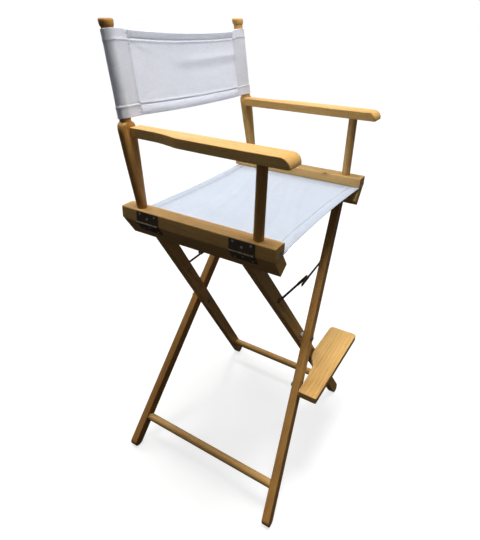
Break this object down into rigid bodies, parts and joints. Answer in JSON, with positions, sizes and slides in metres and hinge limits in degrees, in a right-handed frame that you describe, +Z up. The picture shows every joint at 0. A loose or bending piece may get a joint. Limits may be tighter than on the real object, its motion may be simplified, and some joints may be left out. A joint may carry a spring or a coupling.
{
  "type": "director chair",
  "caption": "Tall folding director's chair: wooden crossed-leg frames, hinged arms with turned posts, canvas sling seat and back, folding steel braces and a flip-up footrest plank.",
  "frame": {"origin": "centre of the bounding box at floor level", "axes": "+Z up, -Y the front of the chair, +X towards the sitter's left arm"},
  "size_m": [0.5718, 0.4911, 1.167],
  "materials": {
    "wood": "clear varnish, satin",
    "steel": "zinc plated, satin",
    "canvas": "cotton canvas, matt",
    "spacer": "moulded, matt"
  },
  "bodies": {
    "outer_frame": {"leg_b_front": "wood", "leg_b_rear": "wood", "stretcher_b": "wood", "lower_rail_b": "wood", "hinge_lower_far_front": "steel", "hinge_lower_far_rear": "steel", "pivot_bolt_front": "steel", "pivot_bolt_rear": "steel", "pivot_spacer_front": "spacer", "pivot_spacer_rear": "spacer", "pivot_nut_front": "steel", "pivot_nut_rear": "steel", "brace_rivet_b_front": "steel", "brace_rivet_b_rear": "steel", "footrest_bolt": "steel", "footrest_nut": "steel"},
    "inner_frame": {"leg_a_front": "wood", "leg_a_rear": "wood", "stretcher_a": "wood", "lower_rail_a": "wood", "hinge_lower_near_front": "steel", "hinge_lower_near_rear": "steel", "brace_rivet_a_front": "steel", "brace_rivet_a_rear": "steel", "footrest_peg": "steel"},
    "near_arm": {"seat_rail_near": "wood", "post_front_near": "wood", "post_rear_near": "wood", "armrest_near": "wood", "seat_dowel_near": "wood", "hinge_upper_near_front": "steel", "hinge_upper_near_rear": "steel", "hinge_pin_near_front": "steel", "hinge_pin_near_rear": "steel"},
    "far_arm": {"seat_rail_far": "wood", "post_front_far": "wood", "post_rear_far": "wood", "armrest_far": "wood", "seat_dowel_far": "wood", "hinge_upper_far_front": "steel", "hinge_upper_far_rear": "steel", "hinge_pin_far_front": "steel", "hinge_pin_far_rear": "steel", "seat_canvas": "canvas", "back_canvas": "canvas"},
    "brace_a_front": {"brace_link_a_front": "steel"},
    "brace_b_front": {"brace_link_b_front": "steel"},
    "brace_a_rear": {"brace_link_a_rear": "steel"},
    "brace_b_rear": {"brace_link_b_rear": "steel"},
    "footrest": {"footrest_plank": "wood"}
  },
  "joints": [
    {"name": "fold", "type": "hinge", "parent": "outer_frame", "child": "inner_frame", "pos_m": [0, -0.00022, 0.3956], "axis": [0, 1, 0], "range_deg": [0, 61.5], "deforming": ["seat_canvas", "back_canvas"]},
    {"name": "near_arm_hinge", "type": "hinge", "parent": "inner_frame", "child": "near_arm", "pos_m": [-0.2748, -0.00022, 0.7507], "axis": [0, 1, 0], "range_deg": [-30.75, 0]},
    {"name": "far_arm_hinge", "type": "hinge", "parent": "outer_frame", "child": "far_arm", "pos_m": [0.2748, -0.00022, 0.7507], "axis": [0, 1, 0], "range_deg": [0, 30.75]},
    {"name": "brace_a_front_hinge", "type": "hinge", "parent": "inner_frame", "child": "brace_a_front", "pos_m": [-0.11883, -0.13, 0.563], "axis": [0.0545, 0.9956, -0.0768], "range_deg": [0, 51.25]},
    {"name": "brace_b_front_hinge", "type": "hinge", "parent": "outer_frame", "child": "brace_b_front", "pos_m": [0.11883, -0.1405, 0.563], "axis": [-0.0545, 0.9956, -0.0768], "range_deg": [-51.25, 0]},
    {"name": "brace_a_rear_hinge", "type": "hinge", "parent": "inner_frame", "child": "brace_a_rear", "pos_m": [-0.11883, 0.15591, 0.563], "axis": [-0.0442, 0.9971, 0.0623], "range_deg": [0, 51.25]},
    {"name": "brace_b_rear_hinge", "type": "hinge", "parent": "outer_frame", "child": "brace_b_rear", "pos_m": [0.11883, 0.16641, 0.563], "axis": [0.0442, 0.9971, 0.0623], "range_deg": [-51.25, 0]},
    {"name": "footrest_flip", "type": "hinge", "parent": "outer_frame", "child": "footrest", "pos_m": [-0.07496, -0.20022, 0.29], "axis": [0, -1, 0], "range_deg": [0, 38]}
  ],
  "couplings": [
    {"joint": "near_arm_hinge", "follows": "fold", "ratio": -0.5},
    {"joint": "far_arm_hinge", "follows": "fold", "ratio": 0.5},
    {"joint": "brace_a_front_hinge", "follows": "fold", "ratio": 0.83333},
    {"joint": "brace_a_rear_hinge", "follows": "fold", "ratio": 0.83333},
    {"joint": "brace_b_front_hinge", "follows": "fold", "ratio": -0.83333},
    {"joint": "brace_b_rear_hinge", "follows": "fold", "ratio": -0.83333}
  ]
}
